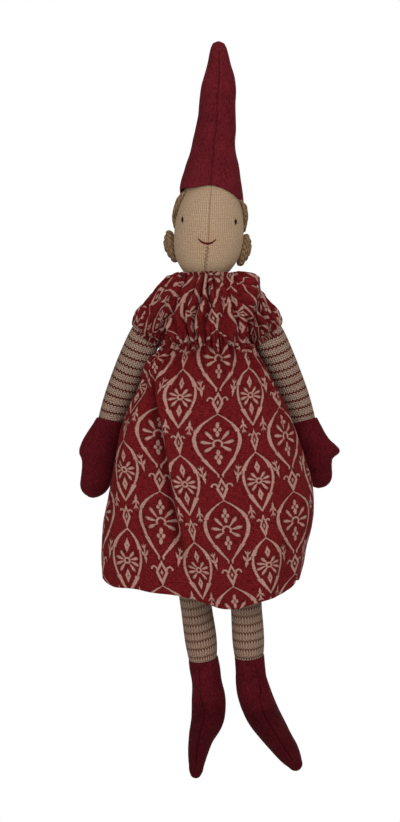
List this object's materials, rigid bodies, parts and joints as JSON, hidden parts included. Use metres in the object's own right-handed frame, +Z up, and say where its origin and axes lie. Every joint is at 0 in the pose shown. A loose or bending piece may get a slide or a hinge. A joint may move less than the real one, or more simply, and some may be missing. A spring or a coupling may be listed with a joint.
{
  "type": "stuffed cloth pixie doll",
  "caption": "Soft stuffed pixie doll in a tall pointed felt hat, gathered print dress with puff sleeves, striped knit limbs, felt mittens and pointed boots, with yarn hair buns.",
  "frame": {"origin": "on the body's axis at the waist elastic, where a hand or the clip of a doll stand closes round the doll", "axes": "+Z up towards the hat's tip, the doll faces -Y, and its own left side is +X"},
  "size_m": [0.1739, 0.0902, 0.4873],
  "materials": {
    "skin_jersey": "brushed cotton jersey",
    "red_felt": "wool felt, matt",
    "dark_red_felt": "wool felt, matt",
    "striped_knit": "fine rib knit, matt",
    "printed_cotton": "plain-weave cotton print",
    "brown_yarn": "spun yarn",
    "dark_thread": "stranded thread",
    "polyester_filling": "loose fibre",
    "white_elastic": "woven elastic"
  },
  "bodies": {
    "torso": {"torso_front_panel": "skin_jersey", "torso_back_panel": "skin_jersey", "torso_filling": "polyester_filling", "dress_bodice": "printed_cotton", "dress_skirt": "printed_cotton", "left_sleeve": "printed_cotton", "right_sleeve": "printed_cotton", "neck_elastic": "white_elastic", "waist_elastic": "white_elastic"},
    "head": {"head_left_panel": "skin_jersey", "head_right_panel": "skin_jersey", "head_filling": "polyester_filling", "hat_left_panel": "red_felt", "hat_right_panel": "red_felt", "hat_filling": "polyester_filling", "hair_left_lock": "brown_yarn", "hair_right_lock": "brown_yarn", "hair_back": "brown_yarn", "left_bun": "brown_yarn", "right_bun": "brown_yarn", "left_eye": "dark_thread", "right_eye": "dark_thread", "mouth": "dark_thread"},
    "hip_seam": {"hip_seam": "skin_jersey"},
    "left_arm": {"left_arm_cover": "striped_knit", "left_arm_filling": "polyester_filling", "left_mitten_front": "dark_red_felt", "left_mitten_back": "dark_red_felt", "left_mitten_thumb": "dark_red_felt", "left_sleeve_elastic": "white_elastic"},
    "left_leg": {"left_leg_cover": "striped_knit", "left_leg_filling": "polyester_filling", "left_boot_outer": "dark_red_felt", "left_boot_inner": "dark_red_felt"},
    "right_arm": {"right_arm_cover": "striped_knit", "right_arm_filling": "polyester_filling", "right_mitten_front": "dark_red_felt", "right_mitten_back": "dark_red_felt", "right_mitten_thumb": "dark_red_felt", "right_sleeve_elastic": "white_elastic"},
    "right_leg": {"right_leg_cover": "striped_knit", "right_leg_filling": "polyester_filling", "right_boot_outer": "dark_red_felt", "right_boot_inner": "dark_red_felt"}
  },
  "joints": [
    {"name": "neck_turn", "type": "hinge", "parent": "torso", "child": "head", "pos_m": [0, 0, 0.0385], "axis": [0, 0, 1], "range_deg": [-40, 40], "stiffness_Nm_per_rad": 0.02},
    {"name": "left_shoulder", "type": "hinge", "parent": "torso", "child": "left_arm", "pos_m": [0.0237, 0, 0.028], "axis": [-1, 0, 0], "range_deg": [-50, 110], "deforming": ["left_sleeve", "dress_skirt"]},
    {"name": "right_shoulder", "type": "hinge", "parent": "torso", "child": "right_arm", "pos_m": [-0.0237, 0, 0.028], "axis": [-1, 0, 0], "range_deg": [-50, 110], "deforming": ["right_sleeve", "dress_skirt"]},
    {"name": "hip_fold", "type": "hinge", "parent": "torso", "child": "hip_seam", "pos_m": [0.003, 0, -0.106], "axis": [-1, 0, 0], "range_deg": [-10, 90], "deforming": ["dress_skirt"]},
    {"name": "left_leg_swing", "type": "hinge", "parent": "hip_seam", "child": "left_leg", "pos_m": [0.0205, 0, -0.106], "axis": [-1, 0, 0], "range_deg": [-20, 10], "deforming": ["dress_skirt"]},
    {"name": "right_leg_swing", "type": "hinge", "parent": "hip_seam", "child": "right_leg", "pos_m": [-0.0145, 0, -0.106], "axis": [-1, 0, 0], "range_deg": [-20, 10], "deforming": ["dress_skirt"]}
  ]
}
